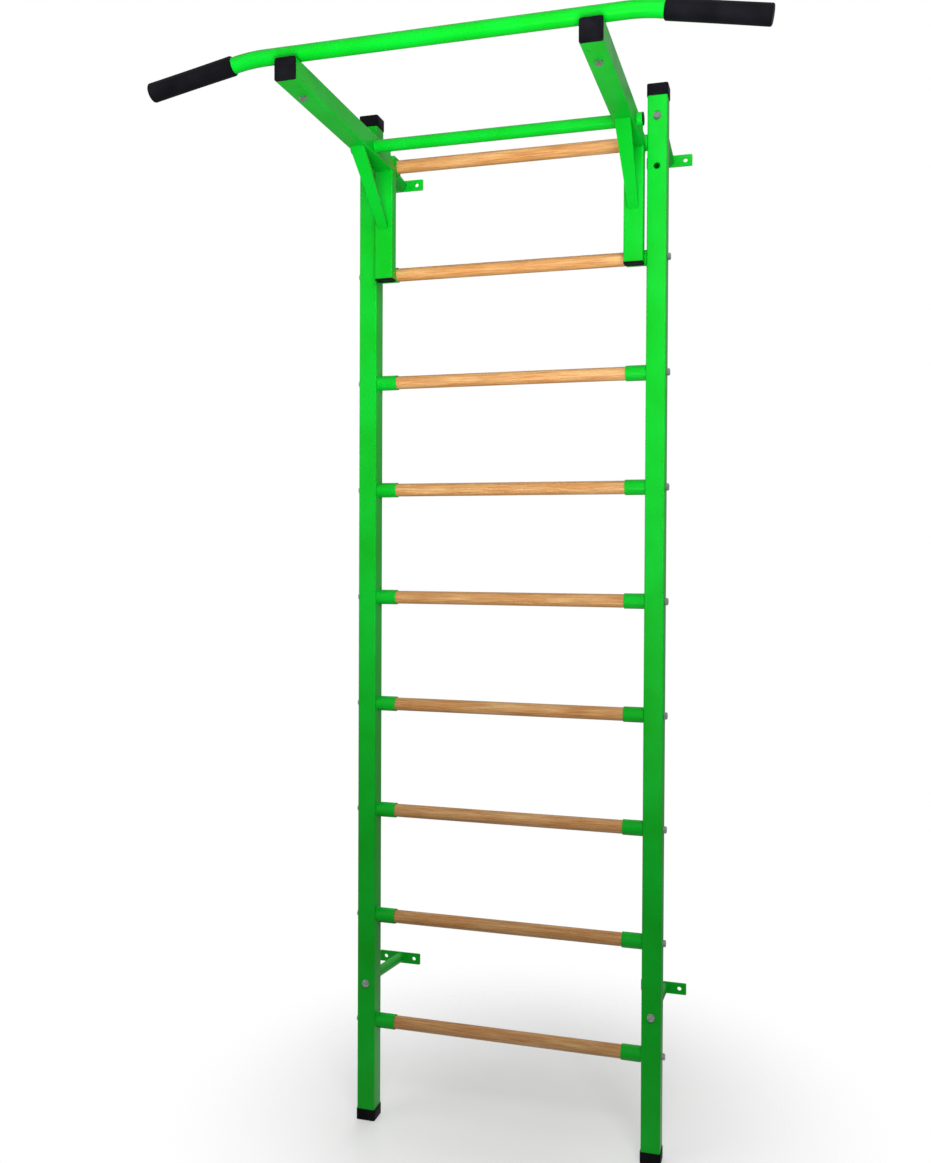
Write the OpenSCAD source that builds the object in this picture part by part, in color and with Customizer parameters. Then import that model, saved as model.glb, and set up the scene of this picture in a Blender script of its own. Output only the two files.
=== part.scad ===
// Wall bars with a hang-on pull-up frame, all sizes in millimetres.
// +X is to the right seen from the room, +Y points to the wall, +Z is up.
// The pieces are laid out from the floor between the posts, and place() then
// moves them so that the origin is the centre of the wall-bolt rectangle,
// on the wall plane.

/* [Ladder] */

// Height of the ladder from floor to the top of the post caps
ladder_height = 2200; // [1700:10:2700]

// Distance between the centre lines of the two posts
post_spacing = 625; // [480:5:800]

// Outer width of the square post tube
post_size = 40; // [30:1:52]

// Wall thickness of all square tubes
tube_wall = 2; // [1.5:0.1:3]

// Outer corner radius of all square tubes
tube_corner = 3; // [2.6:0.1:5]

// Distance from the ladder's top to the axis of the top rung
top_rung_drop = 111; // [90:1:150]

// Height of the lowest rung's axis above the floor
bottom_rung_height = 217; // [150:1:300]

/* [Rungs] */

// Diameter of the wooden rungs
rung_diameter = 28; // [24:0.5:34]

// Gap between a rung and its steel sleeve, on radius
rung_clearance = 0.5; // [0.2:0.1:1]

// Wall thickness of the steel sleeves that hold the rungs
sleeve_wall = 1.5; // [1:0.1:3]

// Length of a sleeve out from its post
sleeve_length = 43; // [25:1:60]

// Length of the threaded insert in each end of a rung
insert_length = 30; // [20:1:40]

// Outer diameter of the threaded inserts
insert_diameter = 12; // [11:0.5:16]

/* [Fasteners] */

// Thread diameter of all bolts
bolt_diameter = 8; // [6:0.5:10]

// Width of the hexagon heads across flats
head_width = 13; // [10:0.5:17]

// Height of the hexagon heads
head_height = 5.3; // [4:0.1:7]

// Diameter of the washers
washer_diameter = 16; // [15.5:0.5:24]

// Thickness of the washers
washer_thickness = 1.6; // [1:0.1:3]

// Gap between a bolt and the hole it passes, on radius
bolt_clearance = 0.5; // [0.2:0.1:1]

/* [Post caps] */

// Height of the caps over the post ends
cap_height = 24; // [15:1:40]

// Wall thickness of the caps
cap_wall = 1.5; // [1:0.1:3]

/* [Wall brackets] */

// Distance from the posts' centre plane to the wall
wall_distance = 199; // [120:1:260]

// Distance from the ladder's top to the upper bracket bolts
upper_bracket_drop = 66; // [50:1:80]

// Height of the lower bracket bolts above the floor
lower_bracket_height = 303; // [270:1:330]

// Diameter of the stand-off tubes
standoff_diameter = 22; // [18:0.5:28]

// Wall thickness of the stand-off tubes
standoff_wall = 2; // [1.5:0.1:3]

// Length of the solid threaded end of a stand-off
standoff_boss = 22; // [16:1:30]

// Angle at which the stand-offs fall towards the wall
standoff_fall = 7; // [0:0.5:12]

// Length of a wall plate
plate_length = 100; // [85:1:130]

// Height of a wall plate
plate_height = 25; // [24:1:40]

// Thickness of a wall plate
plate_thickness = 4; // [3:0.5:6]

// Distance between the two screw holes of a wall plate
plate_hole_spacing = 70; // [50:1:90]

// Diameter of the screw holes of a wall plate
plate_hole_diameter = 9; // [6:0.5:11]

// Diameter of the spare hole in the front of each post
spare_hole_diameter = 13; // [9:0.5:16]

// Distance from the upper bracket bolt down to the spare hole
spare_hole_drop = 100; // [60:1:110]

/* [Pull-up frame] */

// Outer width of the arms' square tube, and of the hangers
frame_tube = 40; // [30:1:48]

// Depth of the hangers' flat tube, from front to back
hanger_depth = 25; // [18:1:40]

// Gap between the frame and the posts, on each side
frame_side_gap = 4; // [2:0.5:10]

// Gap between the frame and the rung sleeves that it hangs on
hang_gap = 0.5; // [0.3:0.1:2]

// Distance from the posts' centre plane to the front of the arm plugs
arm_reach = 514; // [420:1:620]

// Height of the arms' underside below the top rung's axis
arm_drop = 20; // [16:0.5:22]

// How far the hangers' lower ends reach below the second rung's axis
hanger_overrun = 19; // [10:1:40]

// Size of the cut corner where an arm meets its hanger
corner_cut = 16; // [6:1:20]

// Reach of the braces along the arms, from the hangers
brace_reach = 150; // [90:1:190]

// Reach of the braces down the hangers, from the arms
brace_drop = 125; // [80:1:170]

// Thickness of the brace straps
brace_thickness = 5; // [3:0.5:8]

// Width of a brace at the arm
brace_top_width = 30; // [22:1:36]

// Width of a brace at the hanger
brace_foot_width = 21; // [14:1:28]

// Thickness of the hooks that go over the top sleeves
hook_thickness = 5; // [3:0.5:8]

// Width of the hooks
hook_width = 30; // [20:1:36]

// Length of the hooks' legs below the sleeve's axis
hook_leg = 14; // [8:1:20]

// Flange thickness of the plugs in the frame's tube ends
plug_flange = 4; // [2:0.5:6]

// Depth of the plugs in the frame's tubes
plug_depth = 16; // [10:1:25]

/* [Cross tube] */

// Diameter of the cross tube between the arms
cross_diameter = 25; // [20:0.5:30]

// Wall thickness of the cross tube
cross_wall = 1.5; // [1:0.1:3]

// Distance of the cross tube's axis in front of the posts' centre plane
cross_forward = 135; // [110:1:200]

// Height of the cross tube's axis above the arms' underside
cross_rise = 17; // [15:0.5:25]

// How far the cross tube stands out past the arms
cross_overhang = 11; // [2:1:25]

/* [Pull-up bar] */

// Diameter of the pull-up bar
bar_diameter = 28; // [24:0.5:35]

// Wall thickness of the pull-up bar
bar_wall = 2; // [1.5:0.1:3]

// Distance of the bar's axis behind the front of the arm plugs
bar_setback = 31; // [20:1:60]

// Half of the bar's straight middle part
bar_straight_half = 320; // [290:1:400]

// Radius of the bar's bends, to the axis
bar_bend_radius = 315; // [150:5:500]

// Angle at which the bar's ends slope down
bar_end_fall = 10.5; // [0.5:0.5:25]

// Length of each grip
grip_length = 170; // [120:1:220]

// Length of bare tube between a bend and its grip
grip_offset = 6; // [0:1:40]

// Wall thickness of the grips
grip_wall = 3; // [2:0.5:6]

// Thickness of the fixing tabs welded under the bar
tab_thickness = 3; // [2:0.5:6]

// Width of the fixing tabs
tab_width = 28; // [22:1:38]

// Distance from the bar's axis back to its fixing bolts
tab_bolt_setback = 42; // [32:1:60]

// Diameter of the small drain holes under the arms
drain_diameter = 5; // [3:0.5:8]

// Distance of the drain holes from the arms' middle, towards the inner side
drain_shift = 11; // [0:0.5:14]

// Distance from an arm's front end to its first drain hole
drain_setback = 29; // [20:1:50]

/* [Hidden] */

$fn = 64;

rung_count = 9;
rung_pitch = (ladder_height - top_rung_drop - bottom_rung_height) / (rung_count - 1);
half_post = post_size / 2;
post_x = post_spacing / 2;
inner_face_x = post_x - half_post;
outer_face_x = post_x + half_post;

sleeve_inner = rung_diameter + 2 * rung_clearance;
sleeve_outer = sleeve_inner + 2 * sleeve_wall;
bolt_hole = bolt_diameter + 2 * bolt_clearance;
rung_bolt_reach = insert_length - 4;

// Wall brackets
upper_bolt_z = ladder_height - upper_bracket_drop;
lower_bolt_z = lower_bracket_height;
standoff_run = wall_distance - plate_thickness - half_post;
plate_fall = (standoff_run - standoff_boss) * tan(standoff_fall);
wall_mid_z = (upper_bolt_z + lower_bolt_z) / 2 - plate_fall;
boss_thread = standoff_boss - 4;

// Pull-up frame
top_rung_z = ladder_height - top_rung_drop;
arm_bottom_z = top_rung_z - arm_drop;
arm_top_z = arm_bottom_z + frame_tube;
arm_x = inner_face_x - frame_side_gap - frame_tube / 2;
arm_outer_x = arm_x + frame_tube / 2;
frame_back_y = -sleeve_outer / 2 - hang_gap;
hanger_front_y = frame_back_y - hanger_depth;
hanger_mid_y = frame_back_y - hanger_depth / 2;
arm_end_y = -arm_reach + plug_flange;
hanger_foot_z = top_rung_z - rung_pitch - hanger_overrun + plug_flange;
end_plate = 3;

cross_y = -cross_forward;
cross_z = arm_bottom_z + cross_rise;
cross_half = arm_outer_x + cross_overhang;

bar_y = -arm_reach + bar_setback;
bar_z = arm_top_z + tab_thickness + bar_diameter / 2;
bend_run = bar_bend_radius * sin(bar_end_fall);
bend_drop = bar_bend_radius * (1 - cos(bar_end_fall));
bend_steps = 5;
ring_sides = 32;
bar_end_length = grip_offset + grip_length - grip_wall;
tab_bolt_y = bar_y + tab_bolt_setback;
tab_back_y = tab_bolt_y + washer_diameter;
tab_front_y = bar_y - bar_diameter / 2;
nut_height = 8;

green = [0.0, 0.72, 0.16];
black = [0.05, 0.05, 0.06];
wood = [0.80, 0.60, 0.36];
steel = [0.72, 0.73, 0.75];

// ---- Shared shapes ----

// Moves the floor layout so that the origin is the wall-bolt centre
module place() {
    translate([0, -wall_distance, -wall_mid_z])
        children();
}

// An oblong with round corners, centred
module round_oblong(width, depth, radius) {
    flat_x = width - 2 * radius;
    flat_y = depth - 2 * radius;
    square([width, flat_y], center = true);
    square([flat_x, depth], center = true);
    for (x = [-flat_x / 2, flat_x / 2], y = [-flat_y / 2, flat_y / 2]) {
        translate([x, y])
            circle(r = radius);
    }
}

// A tube of oblong section along +Z from the origin
module oblong_tube(width, depth, length) {
    difference() {
        linear_extrude(length)
            round_oblong(width, depth, tube_corner);
        translate([0, 0, -1])
            linear_extrude(length + 2)
                round_oblong(
                    width - 2 * tube_wall, depth - 2 * tube_wall, tube_corner - tube_wall);
    }
}

// A round rod along +X between two places
module rod_x(x_from, x_to, diameter) {
    translate([x_from, 0, 0])
        rotate([0, 90, 0])
            cylinder(d = diameter, h = x_to - x_from);
}

// A round rod along +Y between two places
module rod_y(y_from, y_to, diameter) {
    translate([0, y_from, 0])
        rotate([-90, 0, 0])
            cylinder(d = diameter, h = y_to - y_from);
}

// A hexagon bolt: the head's seat is at the origin and the shank runs along +Z
module hex_bolt(shank) {
    translate([0, 0, -head_height])
        cylinder(d = head_width / cos(30), h = head_height, $fn = 6);
    translate([0, 0, -0.01])
        cylinder(d = bolt_diameter, h = shank + 0.01);
}

// A washer on the seat at the origin, going along +Z
module washer() {
    difference() {
        cylinder(d = washer_diameter, h = washer_thickness);
        translate([0, 0, -1])
            cylinder(d = bolt_hole, h = washer_thickness + 2);
    }
}

// Height of one rung's axis, counted from the top
function rung_z(i) = top_rung_z - (i - 1) * rung_pitch;

// ---- Posts and caps ----

// One post; side is -1 for the left and 1 for the right
module post(side) {
    color(green)
    place()
    difference() {
        translate([side * post_x, 0, cap_wall])
            oblong_tube(post_size, post_size, ladder_height - 2 * cap_wall);
        // Holes for the rung bolts through both side walls
        for (i = [2 : rung_count]) {
            translate([side * post_x, 0, rung_z(i)])
                rod_x(-post_size, post_size, bolt_hole);
        }
        // Holes for the bracket bolts through front and back
        for (z = [upper_bolt_z, lower_bolt_z]) {
            translate([side * post_x, 0, z])
                rod_y(-post_size, post_size, bolt_hole);
        }
        // Spare hole in the front wall
        translate([side * post_x, 0, upper_bolt_z - spare_hole_drop])
            rod_y(-post_size, 0, spare_hole_diameter);
    }
}

// A cap over a post's end, opening towards +Z
module post_cap() {
    outer = post_size + 2 * cap_wall;
    difference() {
        linear_extrude(cap_height)
            round_oblong(outer, outer, tube_corner + cap_wall);
        translate([0, 0, cap_wall])
            linear_extrude(cap_height)
                round_oblong(post_size, post_size, tube_corner);
    }
}

module left_post() {
    post(-1);
}

module right_post() {
    post(1);
}

module top_cap(side) {
    color(black)
    place()
    translate([side * post_x, 0, ladder_height])
        rotate([180, 0, 0])
            post_cap();
}

module foot_cap(side) {
    color(black)
    place()
    translate([side * post_x, 0, 0])
        post_cap();
}

module left_top_cap() {
    top_cap(-1);
}

module right_top_cap() {
    top_cap(1);
}

module left_foot_cap() {
    foot_cap(-1);
}

module right_foot_cap() {
    foot_cap(1);
}

// ---- Rungs and what holds them ----

// The steel sleeves welded to one post's inner face
module rung_sleeves(side) {
    color(green)
    place()
    for (i = [1 : rung_count]) {
        translate([side * (inner_face_x - sleeve_length / 2), 0, rung_z(i)])
            difference() {
                rod_x(-sleeve_length / 2, sleeve_length / 2, sleeve_outer);
                rod_x(-sleeve_length, sleeve_length, sleeve_inner);
            }
    }
}

module left_rung_sleeves() {
    rung_sleeves(-1);
}

module right_rung_sleeves() {
    rung_sleeves(1);
}

// A wooden rung; those with bolts have a pocket in each end for the insert
module rung(i) {
    color(wood)
    place()
    translate([0, 0, rung_z(i)])
        difference() {
            rod_x(-inner_face_x, inner_face_x, rung_diameter);
            if (i > 1) {
                for (side = [-1, 1]) {
                    translate([side * inner_face_x, 0, 0])
                        rod_x(-insert_length, insert_length, insert_diameter);
                }
            }
        }
}

module rung_1() {
    rung(1);
}

module rung_2() {
    rung(2);
}

module rung_3() {
    rung(3);
}

module rung_4() {
    rung(4);
}

module rung_5() {
    rung(5);
}

module rung_6() {
    rung(6);
}

module rung_7() {
    rung(7);
}

module rung_8() {
    rung(8);
}

module rung_9() {
    rung(9);
}

// Places children at each bolted rung on one post's outer face, going inwards
module at_rung_bolts(side) {
    for (i = [2 : rung_count]) {
        translate([side * outer_face_x, 0, rung_z(i)])
            rotate([0, -side * 90, 0])
                children();
    }
}

module rung_bolts(side) {
    color(steel)
    place()
    at_rung_bolts(side)
        translate([0, 0, -washer_thickness])
            hex_bolt(washer_thickness + post_size + rung_bolt_reach);
}

module rung_washers(side) {
    color(steel)
    place()
    at_rung_bolts(side)
        translate([0, 0, -washer_thickness])
            washer();
}

// Threaded tubes pressed into the rungs' ends
module rung_inserts(side) {
    color(steel)
    place()
    at_rung_bolts(side)
        translate([0, 0, post_size])
            difference() {
                cylinder(d = insert_diameter, h = insert_length);
                translate([0, 0, -1])
                    cylinder(d = bolt_diameter, h = insert_length + 2);
            }
}

module left_rung_bolts() {
    rung_bolts(-1);
}

module right_rung_bolts() {
    rung_bolts(1);
}

module left_rung_washers() {
    rung_washers(-1);
}

module right_rung_washers() {
    rung_washers(1);
}

module left_rung_inserts() {
    rung_inserts(-1);
}

module right_rung_inserts() {
    rung_inserts(1);
}

// ---- Wall brackets ----

// A stand-off: a level threaded end against the post, then a falling tube
module standoff(side, bolt_z) {
    slope_length = (standoff_run - standoff_boss) / cos(standoff_fall);
    end_y = half_post + standoff_run;
    color(green)
    place()
    translate([side * post_x, 0, bolt_z])
    difference() {
        union() {
            rod_y(half_post, half_post + standoff_boss, standoff_diameter);
            translate([0, half_post + standoff_boss, 0])
                sphere(d = standoff_diameter);
            intersection() {
                translate([0, half_post + standoff_boss, 0])
                    rotate([-standoff_fall, 0, 0])
                        difference() {
                            rod_y(0, slope_length + standoff_diameter, standoff_diameter);
                            rod_y(
                                standoff_diameter / 2,
                                slope_length + 2 * standoff_diameter,
                                standoff_diameter - 2 * standoff_wall
                            );
                        }
                // Cut flush with the wall plate
                translate([-standoff_diameter, 0, -standoff_run])
                    cube([2 * standoff_diameter, end_y, 2 * standoff_run]);
            }
        }
        rod_y(half_post - 1, half_post + boss_thread, bolt_diameter);
    }
}

// A flat plate with a screw hole near each end
module wall_plate(side, bolt_z) {
    corner = 2;
    color(green)
    place()
    translate([side * post_x, wall_distance - plate_thickness, bolt_z - plate_fall])
    difference() {
        union() {
            for (sx = [-1, 1]) {
                for (sz = [-1, 1]) {
                    translate([
                        sx * (plate_length / 2 - corner),
                        0,
                        sz * (plate_height / 2 - corner)
                    ])
                        rod_y(0, plate_thickness, 2 * corner);
                }
            }
            translate([-plate_length / 2, 0, -plate_height / 2 + corner])
                cube([plate_length, plate_thickness, plate_height - 2 * corner]);
            translate([-plate_length / 2 + corner, 0, -plate_height / 2])
                cube([plate_length - 2 * corner, plate_thickness, plate_height]);
        }
        for (sx = [-1, 1]) {
            translate([sx * plate_hole_spacing / 2, 0, 0])
                rod_y(-1, plate_thickness + 1, plate_hole_diameter);
        }
    }
}

module upper_left_standoff() {
    standoff(-1, upper_bolt_z);
}

module upper_right_standoff() {
    standoff(1, upper_bolt_z);
}

module lower_left_standoff() {
    standoff(-1, lower_bolt_z);
}

module lower_right_standoff() {
    standoff(1, lower_bolt_z);
}

module upper_left_wall_plate() {
    wall_plate(-1, upper_bolt_z);
}

module upper_right_wall_plate() {
    wall_plate(1, upper_bolt_z);
}

module lower_left_wall_plate() {
    wall_plate(-1, lower_bolt_z);
}

module lower_right_wall_plate() {
    wall_plate(1, lower_bolt_z);
}

// Places children at each bracket bolt on the posts' front faces, going back
module at_bracket_bolts() {
    for (side = [-1, 1]) {
        for (z = [upper_bolt_z, lower_bolt_z]) {
            translate([side * post_x, -half_post, z])
                rotate([-90, 0, 0])
                    children();
        }
    }
}

module bracket_bolts() {
    color(steel)
    place()
    at_bracket_bolts()
        translate([0, 0, -washer_thickness])
            hex_bolt(washer_thickness + post_size + boss_thread - 3);
}

module bracket_washers() {
    color(steel)
    place()
    at_bracket_bolts()
        translate([0, 0, -washer_thickness])
            washer();
}

// ---- Pull-up frame ----

// A square arm tube from the hanger's back to the front plug
module arm(side) {
    length = frame_back_y - arm_end_y;
    mid_z = arm_bottom_z + frame_tube / 2;
    color(green)
    place()
    translate([side * arm_x, 0, 0])
    difference() {
        union() {
            translate([0, frame_back_y, mid_z])
                rotate([90, 0, 0])
                    oblong_tube(frame_tube, frame_tube, length);
            // Back plate, and the slanting plate over the cut corner
            intersection() {
                translate([0, frame_back_y, mid_z])
                    rotate([90, 0, 0])
                        linear_extrude(length)
                            round_oblong(frame_tube, frame_tube, tube_corner);
                union() {
                    translate([-frame_tube / 2, frame_back_y - end_plate, arm_bottom_z])
                        cube([frame_tube, end_plate, frame_tube]);
                    corner_wedge(corner_cut + end_plate * sqrt(2));
                }
            }
        }
        corner_wedge(corner_cut);
        // Holes for the cross tube through both side walls
        translate([0, cross_y, cross_z])
            rod_x(-frame_tube, frame_tube, cross_diameter);
        // Hole for the bar's fixing bolt through bottom and top
        translate([0, tab_bolt_y, arm_bottom_z - 1])
            cylinder(d = bolt_hole, h = frame_tube + 2);
        // Drain holes in the underside, near the inner side
        for (y = [arm_end_y + drain_setback, hanger_front_y - brace_reach - 32]) {
            translate([-side * drain_shift, y, arm_bottom_z - 1])
                cylinder(d = drain_diameter, h = tube_wall + 2);
        }
        // Small hole in the inner side, beside the front drain hole
        translate([0, arm_end_y + drain_setback, arm_bottom_z + frame_tube / 4])
            rotate([0, -side * 90, 0])
                cylinder(d = drain_diameter - 1, h = frame_tube);
    }
}

// The wedge that cuts an arm's upper back corner
module corner_wedge(size) {
    translate([-frame_tube, frame_back_y, arm_top_z])
        rotate([45, 0, 0])
            translate([0, -2 * size, -size / sqrt(2)])
                cube([2 * frame_tube, 4 * size, 2 * size]);
}

// A flat hanger tube under an arm
module hanger(side) {
    color(green)
    place()
    translate([side * arm_x, hanger_mid_y, hanger_foot_z])
        oblong_tube(frame_tube, hanger_depth, arm_bottom_z - hanger_foot_z);
}

// A flat strap across the corner between an arm and its hanger
module brace(side) {
    length = sqrt(brace_reach * brace_reach + brace_drop * brace_drop);
    cut_reach = brace_thickness * length / brace_drop;
    cut_drop = brace_thickness * length / brace_reach;
    top = brace_top_width / 2;
    foot = brace_foot_width / 2;
    nip = foot / 3;
    color(green)
    place()
    translate([side * arm_x, hanger_front_y, arm_bottom_z])
    intersection() {
        rotate([90, 0, -90])
            translate([0, 0, -brace_top_width])
                linear_extrude(2 * brace_top_width)
                    polygon([
                        [0, -brace_drop],
                        [brace_reach, 0],
                        [brace_reach - cut_reach, 0],
                        [0, cut_drop - brace_drop]
                    ]);
        rotate([90, 0, 0])
            translate([0, 0, -1])
                linear_extrude(brace_reach + 2)
                    polygon([
                        [-top, 1],
                        [-top, -cut_drop],
                        [-foot, nip - brace_drop],
                        [nip - foot, -brace_drop],
                        [foot - nip, -brace_drop],
                        [foot, nip - brace_drop],
                        [top, -cut_drop],
                        [top, 1]
                    ]);
    }
}

// A hook from the arm's back over the top rung's sleeve and down behind it
module hook(side) {
    inner = sleeve_outer / 2 + hang_gap;
    outer = inner + hook_thickness;
    color(green)
    place()
    translate([side * arm_x, 0, top_rung_z])
    intersection() {
        rotate([90, 0, 90])
            translate([0, 0, -hook_width / 2])
                difference() {
                    union() {
                        cylinder(r = outer, h = hook_width);
                        translate([0, -hook_leg, 0])
                            cube([outer, hook_leg, hook_width]);
                        translate([-inner, 0, 0])
                            cube([inner, outer, hook_width]);
                    }
                    translate([0, 0, -1])
                        cylinder(r = inner, h = hook_width + 2);
                    translate([0, -2 * outer, -1])
                        cube([inner, 2 * outer, hook_width + 2]);
                }
        // Stops at the arm's back and below the slanting corner
        translate([-hook_width, frame_back_y, -hook_leg])
            cube([2 * hook_width, outer - frame_back_y, hook_leg + frame_tube - arm_drop]);
        union() {
            translate([-hook_width, frame_back_y, 0])
                cube([2 * hook_width, 2 * outer, 2 * outer]);
            translate([-hook_width, 0, -hook_leg])
                cube([2 * hook_width, 2 * outer, hook_leg]);
        }
    }
}

module left_arm() {
    arm(-1);
}

module right_arm() {
    arm(1);
}

module left_hanger() {
    hanger(-1);
}

module right_hanger() {
    hanger(1);
}

module left_brace() {
    brace(-1);
}

module right_brace() {
    brace(1);
}

module left_hook() {
    hook(-1);
}

module right_hook() {
    hook(1);
}

module cross_tube() {
    color(green)
    place()
    translate([0, cross_y, cross_z])
        difference() {
            rod_x(-cross_half, cross_half, cross_diameter);
            rod_x(-cross_half - 1, cross_half + 1, cross_diameter - 2 * cross_wall);
        }
}

// Round plugs in the ends of the cross tube
module cross_tube_plugs() {
    color(black)
    place()
    for (side = [-1, 1]) {
        translate([side * cross_half, cross_y, cross_z])
            rotate([0, side * 90, 0]) {
                translate([0, 0, -plug_depth])
                    cylinder(d = cross_diameter - 2 * cross_wall, h = plug_depth);
                cylinder(d = cross_diameter, h = 2);
            }
    }
}

// A plug in the end of a tube of oblong section: the flange's back is at the
// origin, and the plug goes into the tube along +Z
module tube_plug(width, depth) {
    inner_x = width - 2 * tube_wall;
    inner_y = depth - 2 * tube_wall;
    translate([0, 0, -plug_flange])
        linear_extrude(plug_flange)
            round_oblong(width, depth, tube_corner);
    difference() {
        linear_extrude(plug_depth)
            round_oblong(inner_x, inner_y, tube_corner - tube_wall);
        translate([0, 0, 2])
            linear_extrude(plug_depth)
                square([inner_x - 6, inner_y - 6], center = true);
    }
}

module arm_plug(side) {
    color(black)
    place()
    translate([side * arm_x, arm_end_y, arm_bottom_z + frame_tube / 2])
        rotate([-90, 0, 0])
            tube_plug(frame_tube, frame_tube);
}

module hanger_plug(side) {
    color(black)
    place()
    translate([side * arm_x, hanger_mid_y, hanger_foot_z])
        tube_plug(frame_tube, hanger_depth);
}

module left_arm_plug() {
    arm_plug(-1);
}

module right_arm_plug() {
    arm_plug(1);
}

module left_hanger_plug() {
    hanger_plug(-1);
}

module right_hanger_plug() {
    hanger_plug(1);
}

// ---- Pull-up bar ----

// The bar's stations on the right side, from the middle outwards, each as
// its place along X, its height and how far it is turned down
function bar_stations() = [
    for (i = [0 : bend_steps])
        let (turn = i * bar_end_fall / bend_steps)
            [
                bar_straight_half + bar_bend_radius * sin(turn),
                bar_bend_radius * (cos(turn) - 1),
                turn
            ],
    [
        bar_straight_half + bend_run + bar_end_length * cos(bar_end_fall),
        -bend_drop - bar_end_length * sin(bar_end_fall),
        bar_end_fall
    ]
];

// One ring of points around a station, at one radius
function bar_ring(station, radius, flip) = [
    for (k = [0 : ring_sides - 1])
        let (
            turn = 360 * k / ring_sides,
            out = radius * cos(turn)
        )
            [
                flip * (station[0] + out * sin(station[2])),
                radius * sin(turn),
                station[1] + out * cos(station[2])
            ]
];

// Places children where a straight end starts, with +Z along it outwards
module at_bar_end(side) {
    translate([side * (bar_straight_half + bend_run), 0, -bend_drop])
        rotate([0, side * (90 + bar_end_fall), 0])
            children();
}

// The bar: one bent tube, made as rings of points along its path
module pull_up_bar() {
    half = bar_stations();
    last = len(half) - 1;
    n = ring_sides;
    rings = 2 * len(half);
    inner_start = rings * n;
    points = [
        for (radius = [bar_diameter / 2, bar_diameter / 2 - bar_wall])
            for (i = [0 : rings - 1])
                each (
                    i <= last
                        ? bar_ring(half[last - i], radius, -1)
                        : bar_ring(half[i - last - 1], radius, 1)
                )
    ];
    outside = [
        for (i = [0 : rings - 2])
            for (k = [0 : n - 1])
                let (a = i * n + k, b = i * n + (k + 1) % n)
                    [a, a + n, b + n, b]
    ];
    inside = [
        for (face = outside)
            [
                face[3] + inner_start,
                face[2] + inner_start,
                face[1] + inner_start,
                face[0] + inner_start
            ]
    ];
    end_faces = [
        for (k = [0 : n - 1])
            let (a = k, b = (k + 1) % n, c = (rings - 1) * n)
                each [
                    [a, b, b + inner_start, a + inner_start],
                    [c + b, c + a, c + a + inner_start, c + b + inner_start]
                ]
    ];
    color(green)
    place()
    translate([0, bar_y, bar_z])
        polyhedron(points = points, faces = concat(outside, inside, end_faces));
}

// A soft sleeve over a bar's end, closed at the outer end
module grip(side) {
    edge = 2.5;
    outer = bar_diameter / 2 + grip_wall;
    color(black)
    place()
    translate([0, bar_y, bar_z])
        at_bar_end(side)
            translate([0, 0, grip_offset])
                rotate_extrude()
                    difference() {
                        union() {
                            translate([0, edge])
                                square([outer, grip_length - 2 * edge]);
                            square([outer - edge, grip_length]);
                            translate([outer - edge, edge])
                                circle(r = edge);
                            translate([outer - edge, grip_length - edge])
                                circle(r = edge);
                        }
                        translate([0, -1])
                            square([bar_diameter / 2, grip_length - grip_wall + 1]);
                        translate([-outer, -1])
                            square([outer, grip_length + 2]);
                    }
}

module left_grip() {
    grip(-1);
}

module right_grip() {
    grip(1);
}

// A flat tab between the bar and its arm, with the fixing bolt behind the bar
module bar_tab(side) {
    color(green)
    place()
    translate([side * arm_x, 0, arm_top_z])
        difference() {
            translate([-tab_width / 2, tab_front_y, 0])
                cube([tab_width, tab_back_y - tab_front_y, tab_thickness]);
            translate([0, tab_bolt_y, -1])
                cylinder(d = bolt_hole, h = tab_thickness + 2);
        }
}

module left_bar_tab() {
    bar_tab(-1);
}

module right_bar_tab() {
    bar_tab(1);
}

// Places children under each arm at the fixing bolt, going up
module at_bar_bolts() {
    for (side = [-1, 1]) {
        translate([side * arm_x, tab_bolt_y, arm_bottom_z])
            children();
    }
}

module bar_bolts() {
    color(steel)
    place()
    at_bar_bolts()
        translate([0, 0, -washer_thickness])
            hex_bolt(washer_thickness + frame_tube + tab_thickness + nut_height + 3);
}

module bar_bolt_washers() {
    color(steel)
    place()
    at_bar_bolts()
        translate([0, 0, -washer_thickness])
            washer();
}

module bar_bolt_nuts() {
    color(steel)
    place()
    at_bar_bolts()
        translate([0, 0, frame_tube + tab_thickness])
            difference() {
                cylinder(d = head_width / cos(30), h = nut_height, $fn = 6);
                translate([0, 0, -1])
                    cylinder(d = bolt_diameter, h = nut_height + 2);
            }
}

left_post();
right_post();
left_top_cap();
right_top_cap();
left_foot_cap();
right_foot_cap();
left_rung_sleeves();
right_rung_sleeves();
rung_1();
rung_2();
rung_3();
rung_4();
rung_5();
rung_6();
rung_7();
rung_8();
rung_9();
left_rung_bolts();
right_rung_bolts();
left_rung_washers();
right_rung_washers();
left_rung_inserts();
right_rung_inserts();
upper_left_standoff();
upper_right_standoff();
lower_left_standoff();
lower_right_standoff();
upper_left_wall_plate();
upper_right_wall_plate();
lower_left_wall_plate();
lower_right_wall_plate();
bracket_bolts();
bracket_washers();
left_arm();
right_arm();
left_hanger();
right_hanger();
left_brace();
right_brace();
left_hook();
right_hook();
cross_tube();
cross_tube_plugs();
left_arm_plug();
right_arm_plug();
left_hanger_plug();
right_hanger_plug();
pull_up_bar();
left_grip();
right_grip();
left_bar_tab();
right_bar_tab();
bar_bolts();
bar_bolt_washers();
bar_bolt_nuts();
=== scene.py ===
"""Wall bars with a hang-on pull-up frame: finished surfaces, finishes and stage.

Lengths are in metres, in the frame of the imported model: +X to the right seen
from the room, +Y into the wall, +Z up.
"""

import math

import bpy
import numpy as np
from mathutils import Matrix, Vector


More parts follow.
